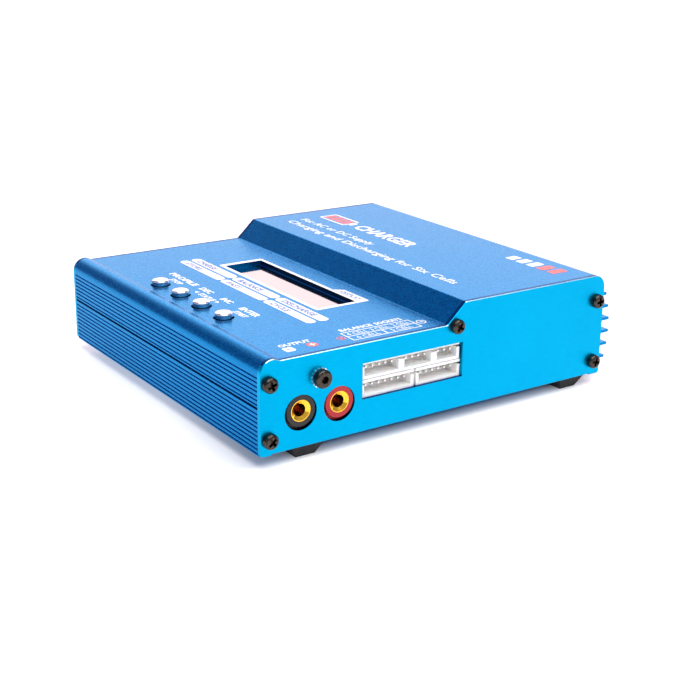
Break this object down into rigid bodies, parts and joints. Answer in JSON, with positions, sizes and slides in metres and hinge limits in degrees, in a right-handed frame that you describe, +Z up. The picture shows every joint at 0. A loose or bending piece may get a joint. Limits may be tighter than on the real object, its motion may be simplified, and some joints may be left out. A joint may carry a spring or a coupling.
{
  "type": "balance battery charger",
  "caption": "Bench charger for model battery packs: blue aluminium case with display, push buttons, output jacks, balance sockets, rear fins and rubber feet.",
  "frame": {"origin": "on the floor under the middle of the charger's bounding box", "axes": "+Z up; +X towards the end plate with the output jacks and balance sockets; +Y towards the finned back, so the grooved front that faces the user is -Y"},
  "size_m": [0.1414, 0.145, 0.0409],
  "materials": {
    "blue_anodised_case": "satin blue anodised aluminium with a fine grain",
    "blue_end_plate": "bright blue anodised aluminium, semi-gloss",
    "black_screws": "black zinc",
    "plated_screws": "zinc plated",
    "bright_steel": "bright plated steel",
    "tinned_copper": "tinned",
    "black_rubber": "matte rubber",
    "black_insulator": "moulded",
    "red_insulator": "moulded",
    "gilt_contacts": "gold plated",
    "ivory_plastic": "moulded ivory plastic",
    "green_circuit_board": "solder mask",
    "clear_film": "polyester film",
    "display_frame_metal": "black",
    "display_glass": "glossy, pale background",
    "white_plastic": "diffusing plastic",
    "chromed_caps": "bright chrome",
    "bearing_bronze": "oil bronze",
    "dark_ferrite": "ferrite",
    "yellow_tape": "polyester tape",
    "capacitor_sleeve": "shrink sleeve",
    "plain_aluminium": "milled",
    "copper_winding": "enamelled copper",
    "wire_insulation": "PVC"
  },
  "bodies": {
    "case": {"top_shell": "blue_anodised_case", "bottom_shell": "blue_anodised_case", "right_end_plate": "blue_end_plate", "left_end_plate": "blue_end_plate", "plate_screws": "black_screws", "fan_screws": "black_screws", "board_screws": "plated_screws", "earth_screw": "black_screws", "earth_washer": "bright_steel", "earth_nut": "bright_steel", "earth_ring_tag": "tinned_copper", "rubber_feet": "black_rubber", "output_jack_black": "black_insulator", "output_jack_red": "red_insulator", "output_contacts": "gilt_contacts", "balance_header_3": "ivory_plastic", "balance_header_4": "ivory_plastic", "balance_header_5": "ivory_plastic", "balance_header_6": "ivory_plastic", "balance_header_7": "ivory_plastic", "balance_pins": "tinned_copper", "balance_board": "green_circuit_board", "board_links": "black_insulator", "charger_board": "green_circuit_board", "power_supply_board": "green_circuit_board", "display_board": "green_circuit_board", "keypad_board": "green_circuit_board", "insulating_sheet": "clear_film", "board_spacers": "bright_steel", "upper_board_spacers": "bright_steel", "display_frame": "display_frame_metal", "display_glass": "display_glass", "display_backlight": "white_plastic", "key_switches": "black_insulator", "fan_frame": "black_insulator", "fan_bearing": "bearing_bronze", "mains_inlet": "black_insulator", "mains_inlet_blades": "tinned_copper", "dc_inlet": "black_insulator", "dc_inlet_pin": "tinned_copper", "usb_port": "bright_steel", "temperature_port": "ivory_plastic", "temperature_port_pins": "tinned_copper", "transformer_core": "dark_ferrite", "transformer_coil": "yellow_tape", "bulk_capacitor": "capacitor_sleeve", "output_capacitors": "capacitor_sleeve", "mains_choke": "dark_ferrite", "heat_spreader": "plain_aluminium", "power_transistors": "black_insulator", "charger_inductors": "copper_winding", "controller_chip": "black_insulator", "buzzer": "black_insulator", "inlet_wires": "wire_insulation"},
    "start_button": {"start_button_cap": "chromed_caps"},
    "plus_button": {"plus_button_cap": "chromed_caps"},
    "minus_button": {"minus_button_cap": "chromed_caps"},
    "stop_button": {"stop_button_cap": "chromed_caps"},
    "cooling_fan": {"fan_rotor": "black_insulator", "fan_shaft": "bright_steel"}
  },
  "joints": [
    {"name": "start_press", "type": "slide", "parent": "case", "child": "start_button", "axis": [0, 0, -1], "range_m": [0, 0.0003], "stiffness_N_per_m": 4000},
    {"name": "plus_press", "type": "slide", "parent": "case", "child": "plus_button", "axis": [0, 0, -1], "range_m": [0, 0.0003], "stiffness_N_per_m": 4000},
    {"name": "minus_press", "type": "slide", "parent": "case", "child": "minus_button", "axis": [0, 0, -1], "range_m": [0, 0.0003], "stiffness_N_per_m": 4000},
    {"name": "stop_press", "type": "slide", "parent": "case", "child": "stop_button", "axis": [0, 0, -1], "range_m": [0, 0.0003], "stiffness_N_per_m": 4000},
    {"name": "fan_spin", "type": "hinge", "parent": "case", "child": "cooling_fan", "pos_m": [-0.0612, -0.0165, 0.0194], "axis": [1, 0, 0], "continuous": true}
  ]
}
